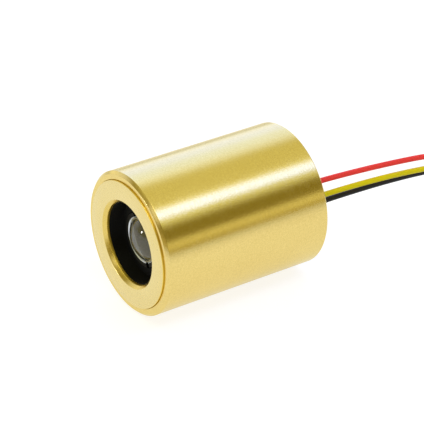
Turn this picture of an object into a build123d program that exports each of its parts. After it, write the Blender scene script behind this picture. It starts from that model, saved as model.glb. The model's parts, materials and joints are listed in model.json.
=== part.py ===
from build123d import *
import math
import os

os.makedirs("parts", exist_ok=True)

# A laser diode module. The optical axis lies along Y and the beam leaves towards -Y.
# The origin is on that axis, half way along the barrel. Millimetres, Z up.

# Brass housing, its walls measured inwards from the barrel
housing_diameter = 20.0
rim_chamfer = 0.4
rear_chamfer = 0.2
rim_wall = 1.1
front_wall = 2.5
rear_wall = 2.0
web_width = 2.0
web_thickness = 1.0

# Front ring, screwed into the rim and standing proud of it
ring_clearance = 0.05
ring_proud = 0.2
ring_thickness = 2.2
ring_edge_break = 0.08
ring_width = 3.1
opening_bevel = 0.45
lip_thickness = 0.85
lip_taper = 0.05

# Lens cell, clamped by its flange between the ring and the housing
slide_clearance = 0.05
collar_wall = 0.8
mouth_step = 0.1
flange_thickness = 1.2
recess_depth = 1.6
recess_taper = 0.65
recess_land = 1.05
cell_tail = 4.35
cell_flare = 1.2

# Lens and the threaded ring that holds it
retainer_wall = 0.8
retainer_thickness = 1.0
retainer_proud = 0.2
retainer_edge = 0.12
spanner_slot_width = 0.7
spanner_slot_depth = 0.35
spanner_slot_turn = 25.0
lens_hold = 0.4
lens_flange_thickness = 2.0
lens_dome_radius = 4.6
lens_clearance = 0.05
lens_seat = 0.6

# Diode heat sink, pressed against the web of the housing
web_gap = 0.2
mount_thickness = 4.2
mount_flare_angle = 45.0

# Laser diode can
header_diameter = 5.6
header_thickness = 1.2
header_clearance = 0.05
notch_width = 0.5
notch_depth = 0.3
pedestal_width = 1.4
pedestal_height = 0.9
pedestal_length = 1.5
cap_diameter = 3.55
cap_height = 2.3
cap_wall = 0.2
cap_brim_diameter = 4.5
cap_brim_thickness = 0.2
cap_aperture = 1.6
cap_clearance = 0.15
window_thickness = 0.25
submount_size = (0.8, 0.9)
submount_thickness = 0.15
laser_chip_size = (0.3, 0.7)
laser_chip_thickness = 0.1
photodiode_size = 0.6
photodiode_thickness = 0.15
pin_diameter = 0.45
pin_circle_radius = 1.0
pin_inner_reach = 0.6
pin_tail = 0.6
seal_diameter = 1.0

# Driver board, carried by an insulating sleeve in the rear bore
sleeve_wall = 1.3
sleeve_ledge = 0.8
board_standoff = 3.6
board_thickness = 1.0
board_room = 3.5
board_clearance = 0.1
pad_hole_clearance = 0.03
solder_radius = 0.55
solder_height = 0.45
solder_taper = 25.0

# Parts on the board: plan width, plan height and standing height.
# Each sits at an inset from the board's edge and an angle about the axis.
chip_body = (3.0, 3.0, 0.9)
chip_inset = 2.6
chip_angle = 103.0
chip_standoff = 0.1
chip_edge = 0.1
leg_width = 0.3
leg_pitch = 0.65
leg_bend = 0.35
leg_foot = 0.6
leg_thickness = 0.15
leg_height = 0.45
legs_per_side = 4
bulk_capacitor_size = (1.6, 3.2, 1.6)
bulk_capacitor_inset = 2.1
bulk_capacitor_angle = 221.0
protection_diode_size = (1.25, 1.7, 0.9)
protection_diode_inset = 1.8
protection_diode_angle = 175.0
chip_capacitor_size = (0.8, 1.6, 0.8)
chip_capacitor_inset = 1.2
chip_capacitor_angles = [21.0, -21.0]
chip_resistor_size = (0.8, 1.6, 0.45)
rear_resistor_inset = 1.5
rear_resistor_angles = [-88.0, -60.0]
front_resistor_inset = 2.2
front_resistor_angles = [160.0, 200.0]
transistor_size = (2.9, 1.3, 1.0)
transistor_inset = 2.5
transistor_angle = 90.0

# Rear plug and the leads that pass through it
plug_thickness = 2.2
plug_recess = 0.3
plug_chamfer = 0.25
lead_diameter = 0.8
lead_clearance = 0.05
lead_circle_radius = 2.8
lead_angles = {"red": 36.0, "yellow": -10.0, "black": -56.0}
lead_funnel = 0.15
lead_straight = 1.8
conductor_diameter = 0.35
strip_length = 0.4
bend_share = 0.45

# Put-away coil of the leads, lying at the level of the barrel's lowest line
coil_centre = (-2.1, 67.7)
coil_radii = {"black": 3.58, "red": 4.4, "yellow": 5.22}
coil_turns = {"black": 2.7, "red": 2.2, "yellow": 1.85}
coil_pitch = 0.92
coil_slack = 0.05
coil_entry = 5.2
coil_approach = 3.5
tie_wall = 0.3
tie_width = 1.2
tie_clearance = 0.1
tie_head = 1.1
tip_diameter = 0.4
tip_length = 4.0

# Radii and diameters that follow from the sizes above
barrel_radius = housing_diameter / 2
rim_bore_radius = barrel_radius - rim_wall
front_bore_radius = barrel_radius - front_wall
rear_bore_radius = barrel_radius - rear_wall
ring_radius = rim_bore_radius - ring_clearance
opening_radius = ring_radius - ring_width
lip_radius = opening_radius - lip_taper
collar_radius = opening_radius + collar_wall
cell_radius = front_bore_radius - slide_clearance
mouth_radius = lip_radius - mouth_step
recess_floor_radius = mouth_radius - recess_taper
retainer_radius = recess_floor_radius - recess_land
retainer_bore_radius = retainer_radius - retainer_wall
lens_flange_radius = retainer_bore_radius + lens_hold
web_bore_radius = front_bore_radius - web_width
dome_edge_radius = retainer_bore_radius - lens_clearance
aperture_radius = lens_flange_radius - lens_seat
mount_radius = rear_bore_radius - slide_clearance
header_radius = header_diameter / 2
cap_radius = cap_diameter / 2
pin_radius = pin_diameter / 2
sleeve_radius = rear_bore_radius - slide_clearance
sleeve_bore_radius = sleeve_radius - sleeve_wall
board_radius = sleeve_bore_radius + sleeve_ledge - board_clearance
lead_radius = lead_diameter / 2
conductor_radius = conductor_diameter / 2

# The barrel is as long as the stack that it holds, from its front rim to its rear end
optics_length = recess_depth - retainer_proud + retainer_thickness + lens_flange_thickness + cell_tail
diode_length = web_gap + web_thickness + mount_thickness
driver_length = board_standoff + board_thickness + board_room
closing_length = plug_thickness + plug_recess
housing_length = lip_thickness - ring_proud + optics_length + diode_length + driver_length + closing_length

# Stations along the axis, from the front face to the rear
front_y = -housing_length / 2
rear_y = housing_length / 2
face_y = front_y - ring_proud
lip_y = face_y + lip_thickness
ring_back_y = face_y + ring_thickness
shoulder_y = ring_back_y + flange_thickness
recess_floor_y = lip_y + recess_depth
retainer_front_y = recess_floor_y - retainer_proud
lens_front_y = retainer_front_y + retainer_thickness
lens_back_y = lens_front_y + lens_flange_thickness
cell_back_y = lens_back_y + cell_tail
web_front_y = cell_back_y + web_gap
mount_front_y = web_front_y + web_thickness
mount_back_y = mount_front_y + mount_thickness
header_front_y = mount_back_y - header_thickness
cap_front_y = header_front_y - cap_height
board_front_y = mount_back_y + board_standoff
board_back_y = board_front_y + board_thickness
plug_back_y = rear_y - plug_recess
plug_front_y = plug_back_y - plug_thickness
floor_z = -barrel_radius


def place_on_circle(radius, angle):
    return (radius * math.cos(math.radians(angle)), radius * math.sin(math.radians(angle)))


pin_places = [place_on_circle(pin_circle_radius, angle) for angle in (0, 180, -90)]
sealed_pin_places = pin_places[:2]
case_pin_place = pin_places[2]
lead_places = {name: place_on_circle(lead_circle_radius, angle) for name, angle in lead_angles.items()}


def place_on_board(inset, angle):
    return place_on_circle(board_radius - inset, angle)


chip_place = place_on_board(chip_inset, chip_angle)


# Plane square to the optical axis, with its own axes along X and Z, that extrudes towards the front
def across(y):
    return Plane(origin=(0, y, 0), x_dir=(1, 0, 0), z_dir=(0, -1, 0))


def save(builder, name):
    builder.part.label = name
    export_step(builder.part, f"parts/{name}.step")


# Housing: one turned tube with a counterbored front and an inner web
with BuildPart() as housing:
    with BuildSketch(Plane.XY):
        with BuildLine():
            Polyline(
                (barrel_radius, front_y),
                (barrel_radius, rear_y),
                (rear_bore_radius, rear_y),
                (rear_bore_radius, mount_front_y),
                (web_bore_radius, mount_front_y),
                (web_bore_radius, web_front_y),
                (front_bore_radius, web_front_y),
                (front_bore_radius, shoulder_y),
                (rim_bore_radius, shoulder_y),
                (rim_bore_radius, front_y),
                close=True,
            )
        make_face()
    revolve(axis=Axis.Y)
    outer_edges = housing.edges().filter_by(GeomType.CIRCLE).group_by(SortBy.RADIUS)[-1]
    chamfer(outer_edges.sort_by(Axis.Y)[0], rim_chamfer)
    chamfer(outer_edges.sort_by(Axis.Y)[-1], rear_chamfer)
save(housing, "housing")

# Front ring: a lip with a bevelled, slightly tapered opening, hollowed behind for the cell's collar
with BuildPart() as front_ring:
    with BuildSketch(Plane.XY):
        with BuildLine():
            Polyline(
                (opening_radius + opening_bevel, face_y),
                (ring_radius, face_y),
                (ring_radius, ring_back_y),
                (collar_radius + slide_clearance, ring_back_y),
                (collar_radius + slide_clearance, lip_y),
                (lip_radius, lip_y),
                (opening_radius, face_y + opening_bevel),
                close=True,
            )
        make_face()
    revolve(axis=Axis.Y)
    face_edges = front_ring.edges().filter_by(GeomType.CIRCLE).group_by(Axis.Y)[0]
    fillet(face_edges.sort_by(SortBy.RADIUS)[-1], ring_edge_break)
save(front_ring, "front_ring")

# Lens cell: collar, clamped flange and body, with a conical recess and the lens pocket
with BuildPart() as lens_cell:
    with BuildSketch(Plane.XY):
        with BuildLine():
            Polyline(
                (mouth_radius, lip_y),
                (collar_radius, lip_y),
                (collar_radius, ring_back_y),
                (rim_bore_radius - slide_clearance, ring_back_y),
                (rim_bore_radius - slide_clearance, shoulder_y),
                (cell_radius, shoulder_y),
                (cell_radius, cell_back_y),
                (aperture_radius + cell_flare, cell_back_y),
                (aperture_radius, lens_back_y + cell_tail / 2),
                (aperture_radius, lens_back_y),
                (lens_flange_radius + lens_clearance, lens_back_y),
                (lens_flange_radius + lens_clearance, lens_front_y),
                (retainer_radius + slide_clearance, lens_front_y),
                (retainer_radius + slide_clearance, recess_floor_y),
                (recess_floor_radius, recess_floor_y),
                close=True,
            )
        make_face()
    revolve(axis=Axis.Y)
save(lens_cell, "lens_cell")

# Lens: flat flange with a domed front that stands up through the retainer
dome_sag = lens_dome_radius - math.sqrt(lens_dome_radius**2 - dome_edge_radius**2)
dome_edge_y = retainer_front_y + retainer_edge
with BuildPart() as collimating_lens:
    with BuildSketch(Plane.XY):
        with BuildLine():
            RadiusArc((0, dome_edge_y - dome_sag), (dome_edge_radius, dome_edge_y), -lens_dome_radius)
            Polyline(
                (dome_edge_radius, dome_edge_y),
                (dome_edge_radius, lens_front_y),
                (lens_flange_radius, lens_front_y),
                (lens_flange_radius, lens_back_y),
                (0, lens_back_y),
                (0, dome_edge_y - dome_sag),
            )
        make_face()
    revolve(axis=Axis.Y)
save(collimating_lens, "collimating_lens")

# Retainer: threaded ring with two spanner slots across its front
with BuildPart() as lens_retainer:
    with BuildSketch(Plane.XY):
        with BuildLine():
            Polyline(
                (retainer_bore_radius + retainer_edge, retainer_front_y),
                (retainer_radius - retainer_edge, retainer_front_y),
                (retainer_radius, retainer_front_y + retainer_edge),
                (retainer_radius, lens_front_y),
                (retainer_bore_radius, lens_front_y),
                (retainer_bore_radius, retainer_front_y + retainer_edge),
                close=True,
            )
        make_face()
    revolve(axis=Axis.Y)
    with BuildSketch(across(retainer_front_y)):
        Rectangle(spanner_slot_width, 2 * retainer_radius, rotation=spanner_slot_turn)
    extrude(amount=-spanner_slot_depth, mode=Mode.SUBTRACT)
save(lens_retainer, "lens_retainer")

# Heat sink: disc with a flared beam hole, a bore for the can and a pocket for its header
can_bore_radius = cap_brim_diameter / 2 + cap_clearance
flare_depth = cap_front_y - mount_front_y
flare_radius = can_bore_radius + flare_depth * math.tan(math.radians(mount_flare_angle))
with BuildPart() as diode_mount:
    with BuildSketch(Plane.XY):
        with BuildLine():
            Polyline(
                (flare_radius, mount_front_y),
                (mount_radius, mount_front_y),
                (mount_radius, mount_back_y),
                (header_radius + header_clearance, mount_back_y),
                (header_radius + header_clearance, header_front_y),
                (can_bore_radius, header_front_y),
                (can_bore_radius, cap_front_y),
                close=True,
            )
        make_face()
    revolve(axis=Axis.Y)
save(diode_mount, "diode_mount")

# Header: notched disc with holes for the sealed pins and a pedestal beside the axis
pedestal_top_z = -laser_chip_thickness / 2 - submount_thickness
with BuildPart() as diode_header:
    with BuildSketch(across(mount_back_y)):
        Circle(header_radius)
        with Locations(*sealed_pin_places):
            Circle(seal_diameter / 2, mode=Mode.SUBTRACT)
        with Locations((-header_radius, 0), (header_radius, 0)):
            RegularPolygon(notch_depth, 4, mode=Mode.SUBTRACT)
        with Locations((0, header_radius)):
            Rectangle(notch_width, 2 * notch_depth, mode=Mode.SUBTRACT)
    extrude(amount=header_thickness)
    with BuildSketch(across(header_front_y)):
        with Locations((0, pedestal_top_z - pedestal_height / 2)):
            Rectangle(pedestal_width, pedestal_height)
    extrude(amount=pedestal_length)
save(diode_header, "diode_header")

# Cap: can with a welded brim and a window aperture
with BuildPart() as diode_cap:
    with BuildSketch(Plane.XY):
        with BuildLine():
            Polyline(
                (cap_aperture / 2, cap_front_y),
                (cap_radius, cap_front_y),
                (cap_radius, header_front_y - cap_brim_thickness),
                (cap_brim_diameter / 2, header_front_y - cap_brim_thickness),
                (cap_brim_diameter / 2, header_front_y),
                (cap_radius - cap_wall, header_front_y),
                (cap_radius - cap_wall, cap_front_y + cap_wall),
                (cap_aperture / 2, cap_front_y + cap_wall),
                close=True,
            )
        make_face()
    revolve(axis=Axis.Y)
save(diode_cap, "diode_cap")

with BuildPart() as diode_window:
    with BuildSketch(across(cap_front_y + cap_wall)):
        Circle(cap_radius - cap_wall - slide_clearance)
    extrude(amount=-window_thickness)
save(diode_window, "diode_window")

# Emitter on its submount at the tip of the pedestal, and the monitor behind it
emitter_y = header_front_y - pedestal_length
with BuildPart() as chip_submount:
    with BuildSketch(Plane.XY.offset(pedestal_top_z)):
        with Locations((0, emitter_y + submount_size[1] / 2)):
            Rectangle(*submount_size)
    extrude(amount=submount_thickness)
save(chip_submount, "chip_submount")

with BuildPart() as laser_chip:
    with BuildSketch(Plane.XY.offset(pedestal_top_z + submount_thickness)):
        with Locations((0, emitter_y + laser_chip_size[1] / 2)):
            Rectangle(*laser_chip_size)
    extrude(amount=laser_chip_thickness)
save(laser_chip, "laser_chip")

with BuildPart() as monitor_photodiode:
    with BuildSketch(across(header_front_y)):
        with Locations((0, photodiode_size / 2 + photodiode_thickness)):
            Rectangle(photodiode_size, photodiode_size)
    extrude(amount=photodiode_thickness)
save(monitor_photodiode, "monitor_photodiode")

# Pins: two run through glass beads into the can, one is welded to the back of the header
pin_end_y = board_back_y + pin_tail
with BuildPart() as diode_pins:
    with BuildSketch(across(pin_end_y)):
        with Locations(*sealed_pin_places):
            Circle(pin_radius)
    extrude(amount=pin_end_y - header_front_y + pin_inner_reach)
    with BuildSketch(across(pin_end_y)):
        with Locations(case_pin_place):
            Circle(pin_radius)
    extrude(amount=pin_end_y - mount_back_y)
save(diode_pins, "diode_pins")

with BuildPart() as pin_seals:
    with BuildSketch(across(mount_back_y)):
        with Locations(*sealed_pin_places):
            Circle(seal_diameter / 2)
            Circle(pin_radius, mode=Mode.SUBTRACT)
    extrude(amount=header_thickness)
save(pin_seals, "pin_seals")

# Sleeve: thin tube with a ledge that the board sits on
with BuildPart() as board_sleeve:
    with BuildSketch(Plane.XY):
        with BuildLine():
            Polyline(
                (sleeve_bore_radius, mount_back_y),
                (sleeve_radius, mount_back_y),
                (sleeve_radius, plug_front_y),
                (sleeve_bore_radius + sleeve_ledge, plug_front_y),
                (sleeve_bore_radius + sleeve_ledge, board_front_y),
                (sleeve_bore_radius, board_front_y),
                close=True,
            )
        make_face()
    revolve(axis=Axis.Y)
save(board_sleeve, "board_sleeve")

with BuildPart() as driver_board:
    with BuildSketch(across(board_back_y)):
        Circle(board_radius)
        with Locations(*pin_places):
            Circle(pin_radius + pad_hole_clearance, mode=Mode.SUBTRACT)
        with Locations(*lead_places.values()):
            Circle(conductor_radius + pad_hole_clearance, mode=Mode.SUBTRACT)
    extrude(amount=board_thickness)
save(driver_board, "driver_board")

# Driver chip on the rear of the board, with gull-wing legs along two sides
with BuildPart() as driver_chip:
    with BuildSketch(across(board_back_y + chip_standoff + chip_body[2])):
        with Locations(chip_place):
            Rectangle(chip_body[0], chip_body[1])
    extrude(amount=chip_body[2])
    top_edges = driver_chip.faces().sort_by(Axis.Y)[-1].edges()
    chamfer(top_edges, chip_edge)
save(driver_chip, "driver_chip")

leg_root_y = board_back_y + leg_height
first_leg_z = chip_place[1] - leg_pitch * (legs_per_side - 1) / 2
with BuildPart() as chip_legs:
    for index in range(legs_per_side):
        leg_plane = Plane.XY.offset(first_leg_z + index * leg_pitch - leg_width / 2)
        for side in (-1, 1):
            root_x = chip_place[0] + side * chip_body[0] / 2
            bend_x = root_x + side * leg_bend
            knee_x = bend_x + side * leg_thickness
            toe_x = bend_x + side * leg_foot
            with BuildSketch(leg_plane):
                with BuildLine():
                    Polyline(
                        (root_x, leg_root_y),
                        (bend_x, leg_root_y),
                        (bend_x, board_back_y),
                        (toe_x, board_back_y),
                        (toe_x, board_back_y + leg_thickness),
                        (knee_x, board_back_y + leg_thickness),
                        (knee_x, leg_root_y + leg_thickness),
                        (root_x, leg_root_y + leg_thickness),
                        close=True,
                    )
                make_face()
            extrude(amount=leg_width)
save(chip_legs, "chip_legs")

# Small moulded parts, on the rear face unless said otherwise
with BuildPart() as bulk_capacitor:
    with BuildSketch(across(board_back_y)):
        with Locations(place_on_board(bulk_capacitor_inset, bulk_capacitor_angle)):
            Rectangle(bulk_capacitor_size[0], bulk_capacitor_size[1])
    extrude(amount=-bulk_capacitor_size[2])
save(bulk_capacitor, "bulk_capacitor")

with BuildPart() as protection_diode:
    with BuildSketch(across(board_back_y)):
        with Locations(place_on_board(protection_diode_inset, protection_diode_angle)):
            Rectangle(protection_diode_size[0], protection_diode_size[1])
    extrude(amount=-protection_diode_size[2])
save(protection_diode, "protection_diode")

with BuildPart() as chip_capacitors:
    with BuildSketch(across(board_back_y)):
        with Locations(*[place_on_board(chip_capacitor_inset, angle) for angle in chip_capacitor_angles]):
            Rectangle(chip_capacitor_size[0], chip_capacitor_size[1])
    extrude(amount=-chip_capacitor_size[2])
save(chip_capacitors, "chip_capacitors")

# Resistors lie across the rear face and along the front face
with BuildPart() as chip_resistors:
    with BuildSketch(across(board_back_y)):
        with Locations(*[place_on_board(rear_resistor_inset, angle) for angle in rear_resistor_angles]):
            Rectangle(chip_resistor_size[1], chip_resistor_size[0])
    extrude(amount=-chip_resistor_size[2])
    with BuildSketch(across(board_front_y)):
        with Locations(*[place_on_board(front_resistor_inset, angle) for angle in front_resistor_angles]):
            Rectangle(chip_resistor_size[0], chip_resistor_size[1])
    extrude(amount=chip_resistor_size[2])
save(chip_resistors, "chip_resistors")

with BuildPart() as switch_transistor:
    with BuildSketch(across(board_front_y)):
        with Locations(place_on_board(transistor_inset, transistor_angle)):
            Rectangle(transistor_size[0], transistor_size[1])
    extrude(amount=transistor_size[2])
save(switch_transistor, "switch_transistor")

# Solder cones: round the pins behind the board, round the lead conductors in front of it
solder_tip_radius = solder_radius - solder_height * math.tan(math.radians(solder_taper))
with BuildPart() as pin_solder:
    with BuildSketch(across(board_back_y + solder_height)):
        with Locations(*pin_places):
            Circle(solder_tip_radius)
    extrude(amount=solder_height, taper=-solder_taper)
    with BuildSketch(across(board_back_y + solder_height)):
        with Locations(*pin_places):
            Circle(pin_radius)
    extrude(amount=solder_height, mode=Mode.SUBTRACT)
save(pin_solder, "pin_solder")

with BuildPart() as lead_solder:
    with BuildSketch(across(board_front_y)):
        with Locations(*lead_places.values()):
            Circle(solder_radius)
    extrude(amount=solder_height, taper=solder_taper)
    with BuildSketch(across(board_front_y)):
        with Locations(*lead_places.values()):
            Circle(conductor_radius)
    extrude(amount=solder_height, mode=Mode.SUBTRACT)
save(lead_solder, "lead_solder")

lead_start_y = board_back_y + strip_length
with BuildPart() as lead_conductors:
    with BuildSketch(across(lead_start_y)):
        with Locations(*lead_places.values()):
            Circle(conductor_radius)
    extrude(amount=strip_length + board_thickness + solder_height)
save(lead_conductors, "lead_conductors")

# Rear plug: disc with a chamfered rim and a funnelled hole for each lead
lead_hole_radius = lead_radius + lead_clearance
with BuildPart() as rear_plug:
    with BuildSketch(across(plug_back_y)):
        Circle(rear_bore_radius - slide_clearance)
        with Locations(*lead_places.values()):
            Circle(lead_hole_radius, mode=Mode.SUBTRACT)
    extrude(amount=plug_thickness)
    rear_edges = rear_plug.faces().sort_by(Axis.Y)[-1].edges().sort_by(SortBy.RADIUS)
    chamfer(rear_edges[-1], plug_chamfer)
    chamfer(rear_edges[:-1], lead_funnel)
save(rear_plug, "rear_plug")

# Leads: straight out of the plug, then down to the coil in a few easy bends
coil_bottom_z = floor_z + tie_wall + tie_clearance
coil_first_z = coil_bottom_z + coil_slack + lead_radius
lead_bends = {
    "red": [
        (2.27, 21.5, 1.26),
        (2.27, 29.0, 0.61),
        (2.27, 36.5, -0.3),
        (2.28, 43.5, -1.9),
        (2.29, 49.5, -4.4),
        (2.3, 54.5, -7.3),
    ],
    "yellow": [
        (2.76, 21.5, -0.64),
        (2.76, 29.0, -1.12),
        (2.8, 36.5, -1.98),
        (2.9, 43.5, -3.3),
        (3.0, 49.5, -5.4),
        (3.08, 54.5, -7.6),
    ],
    "black": [
        (1.53, 21.5, -2.39),
        (1.5, 29.0, -2.66),
        (1.49, 36.5, -3.26),
        (1.49, 43.5, -4.4),
        (1.48, 49.5, -6.0),
        (1.48, 54.5, -7.9),
    ],
}


def bend_radii(points):
    radii = []
    for before, corner, after in zip(points, points[1:], points[2:]):
        run_in = Vector(corner) - Vector(before)
        run_out = Vector(after) - Vector(corner)
        half_turn = math.radians(run_in.get_angle(run_out)) / 2
        radii.append(bend_share * min(run_in.length, run_out.length) / math.tan(half_turn))
    return radii


lead_lengths = {}
for name, (hole_x, hole_z) in lead_places.items():
    coil_x = coil_centre[0] + coil_radii[name]
    entry_y = coil_centre[1] - coil_entry
    route = [
        (hole_x, lead_start_y, hole_z),
        (hole_x, plug_back_y + lead_straight, hole_z),
        *lead_bends[name],
        (coil_x, entry_y - coil_approach, coil_first_z),
        (coil_x, entry_y, coil_first_z),
    ]
    radii = bend_radii(route)
    with BuildPart() as lead:
        with BuildLine() as path:
            FilletPolyline(*route, radius=radii)
        with BuildSketch(Plane(origin=path.line @ 0, z_dir=path.line % 0)):
            Circle(lead_radius)
        sweep()
    save(lead, f"{name}_lead")
    path_length = path.wire().length
    section_volume = math.pi * lead_radius**2 * path_length
    print(name, "radii", [round(radius, 1) for radius in radii])
    print(name, "volume", round(lead.part.volume, 4), "section times length", round(section_volume, 4))
    lead_lengths[name] = path_length - (plug_back_y - lead_start_y)

# Coil: outer form of the turns, with the flat bundle that runs into it
coil_inner = min(coil_radii.values()) - lead_radius - coil_slack
coil_outer = max(coil_radii.values()) + lead_radius + coil_slack
layer_height = lead_diameter + 2 * coil_slack
coil_height = max(coil_turns.values()) * coil_pitch + layer_height
coil_middle = (coil_inner + coil_outer) / 2
with BuildPart() as lead_coil:
    with BuildSketch(Plane.XY.offset(coil_bottom_z)):
        with Locations(coil_centre):
            Circle(coil_outer)
            Circle(coil_inner, mode=Mode.SUBTRACT)
    extrude(amount=coil_height)
    with BuildSketch(Plane.XY.offset(coil_bottom_z)):
        with Locations((coil_centre[0] + coil_middle, coil_centre[1] - coil_entry / 2)):
            Rectangle(coil_outer - coil_inner, coil_entry)
    extrude(amount=layer_height)
save(lead_coil, "lead_coil")

# Tie: a band round the coil on its side away from the leads, with a small head on top
tie_inner_width = coil_outer - coil_inner + 2 * tie_clearance
tie_inner_height = coil_height + 2 * tie_clearance
tie_middle_z = coil_bottom_z + coil_height / 2
tie_plane = Plane(
    origin=(coil_centre[0] - coil_middle, coil_centre[1] + tie_width / 2, tie_middle_z),
    x_dir=(1, 0, 0),
    z_dir=(0, -1, 0),
)
with BuildPart() as coil_tie:
    with BuildSketch(tie_plane):
        Rectangle(tie_inner_width + 2 * tie_wall, tie_inner_height + 2 * tie_wall)
        Rectangle(tie_inner_width, tie_inner_height, mode=Mode.SUBTRACT)
        with Locations((0, tie_inner_height / 2 + tie_wall + tie_head / 4)):
            Rectangle(tie_head, tie_head / 2)
    extrude(amount=tie_width)
save(coil_tie, "coil_tie")

# Tinned ends: each leaves its turn straight and starts where it clears the coil
with BuildPart() as lead_tips:
    for name, radius in coil_radii.items():
        angle = 2 * math.pi * coil_turns[name]
        tangent = Vector(-math.sin(angle), math.cos(angle), 0)
        last_turn = Vector(math.cos(angle), math.sin(angle), 0) * radius
        tail = math.sqrt(coil_outer**2 - (radius - tip_diameter / 2) ** 2) + coil_slack
        tip_z = coil_first_z + coil_pitch * coil_turns[name]
        start = Vector(*coil_centre, tip_z) + last_turn + tangent * tail
        with BuildSketch(Plane(origin=start, z_dir=tangent)):
            Circle(tip_diameter / 2)
        extrude(amount=tip_length)
        turns_length = math.hypot(2 * math.pi * radius, coil_pitch) * coil_turns[name]
        lead_length = lead_lengths[name] + coil_entry + turns_length + tail + tip_length
        print(name, "lead length outside the plug", round(lead_length, 1))
save(lead_tips, "lead_tips")
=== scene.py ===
import json
import math

import bmesh
import bpy
from mathutils import Matrix, Vector

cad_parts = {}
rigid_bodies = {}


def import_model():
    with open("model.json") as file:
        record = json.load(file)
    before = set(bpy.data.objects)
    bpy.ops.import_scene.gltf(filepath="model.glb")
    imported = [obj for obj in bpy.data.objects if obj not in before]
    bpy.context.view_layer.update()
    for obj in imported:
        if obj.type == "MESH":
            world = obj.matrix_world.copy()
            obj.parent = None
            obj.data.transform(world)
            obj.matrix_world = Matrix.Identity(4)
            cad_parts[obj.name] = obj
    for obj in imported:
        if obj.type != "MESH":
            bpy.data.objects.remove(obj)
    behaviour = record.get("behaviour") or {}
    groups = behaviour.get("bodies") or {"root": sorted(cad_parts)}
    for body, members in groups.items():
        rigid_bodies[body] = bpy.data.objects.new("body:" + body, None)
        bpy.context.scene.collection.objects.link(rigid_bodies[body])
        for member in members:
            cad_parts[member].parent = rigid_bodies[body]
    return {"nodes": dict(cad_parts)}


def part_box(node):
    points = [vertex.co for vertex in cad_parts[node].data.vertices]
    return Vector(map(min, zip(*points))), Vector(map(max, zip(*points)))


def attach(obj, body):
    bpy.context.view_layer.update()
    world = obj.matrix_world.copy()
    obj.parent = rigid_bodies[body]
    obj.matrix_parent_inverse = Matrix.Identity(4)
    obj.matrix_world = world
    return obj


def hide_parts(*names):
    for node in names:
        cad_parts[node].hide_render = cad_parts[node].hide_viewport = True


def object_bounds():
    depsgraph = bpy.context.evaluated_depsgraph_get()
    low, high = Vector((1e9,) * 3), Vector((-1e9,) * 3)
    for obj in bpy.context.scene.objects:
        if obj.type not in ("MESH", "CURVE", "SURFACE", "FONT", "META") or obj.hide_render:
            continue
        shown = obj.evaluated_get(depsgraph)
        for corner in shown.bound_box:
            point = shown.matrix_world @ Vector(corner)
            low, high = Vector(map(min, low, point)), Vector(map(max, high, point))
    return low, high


for leftover in list(bpy.data.objects):
    bpy.data.objects.remove(leftover)

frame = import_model()
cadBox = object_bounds()
nodes = frame["nodes"]
mm = 0.001
print("frame loaded:", len(nodes), "nodes")


# Node helpers

def addNode(tree, kind, values=None, **settings):
    node = tree.nodes.new(kind)
    for name, value in settings.items():
        setattr(node, name, value)
    for name, value in (values or {}).items():
        node.inputs[name].default_value = value
    return node


def newGroup(name, takes, gives):
    group = bpy.data.node_groups.new(name, "ShaderNodeTree")
    for socketName, kind, value in takes:
        socket = group.interface.new_socket(socketName, in_out="INPUT", socket_type=kind)
        if value is not None:
            socket.default_value = value
    for socketName, kind in gives:
        group.interface.new_socket(socketName, in_out="OUTPUT", socket_type=kind)
    return group, addNode(group, "NodeGroupInput"), addNode(group, "NodeGroupOutput")


def newMaterial(name, values):
    material = bpy.data.materials.new(name)
    material.use_nodes = True
    tree = material.node_tree
    shader = tree.nodes["Principled BSDF"]
    for socketName, value in values.items():
        shader.inputs[socketName].default_value = value
    coords = addNode(tree, "ShaderNodeTexCoord")
    return material, tree, shader, coords.outputs["Object"]


def placeGroup(tree, group, coords, values=None):
    node = addNode(tree, "ShaderNodeGroup", node_tree=group)
    tree.links.new(coords, node.inputs["Vector"])
    for name, value in (values or {}).items():
        node.inputs[name].default_value = value
    return node


def blendColours(tree, mask, dark, light):
    mix = addNode(tree, "ShaderNodeMix", data_type="RGBA")
    mix.inputs["A"].default_value = (*dark, 1)
    mix.inputs["B"].default_value = (*light, 1)
    tree.links.new(mask, mix.inputs["Factor"])
    return mix.outputs["Result"]


def spread(tree, mask, low, high):
    # most of a noise mask lies between these two values
    noiseLow, noiseHigh = 0.3, 0.7
    ramp = addNode(tree, "ShaderNodeMapRange", {"From Min": noiseLow, "From Max": noiseHigh,
                                                "To Min": low, "To Max": high})
    tree.links.new(mask, ramp.inputs["Value"])
    return ramp.outputs["Result"]


def bumpFrom(tree, shader, height, depth):
    bump = addNode(tree, "ShaderNodeBump", {"Strength": 1.0, "Distance": depth})
    tree.links.new(height, bump.inputs["Height"])
    tree.links.new(bump.outputs["Normal"], shader.inputs["Normal"])


# Shared surface effects

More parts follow.
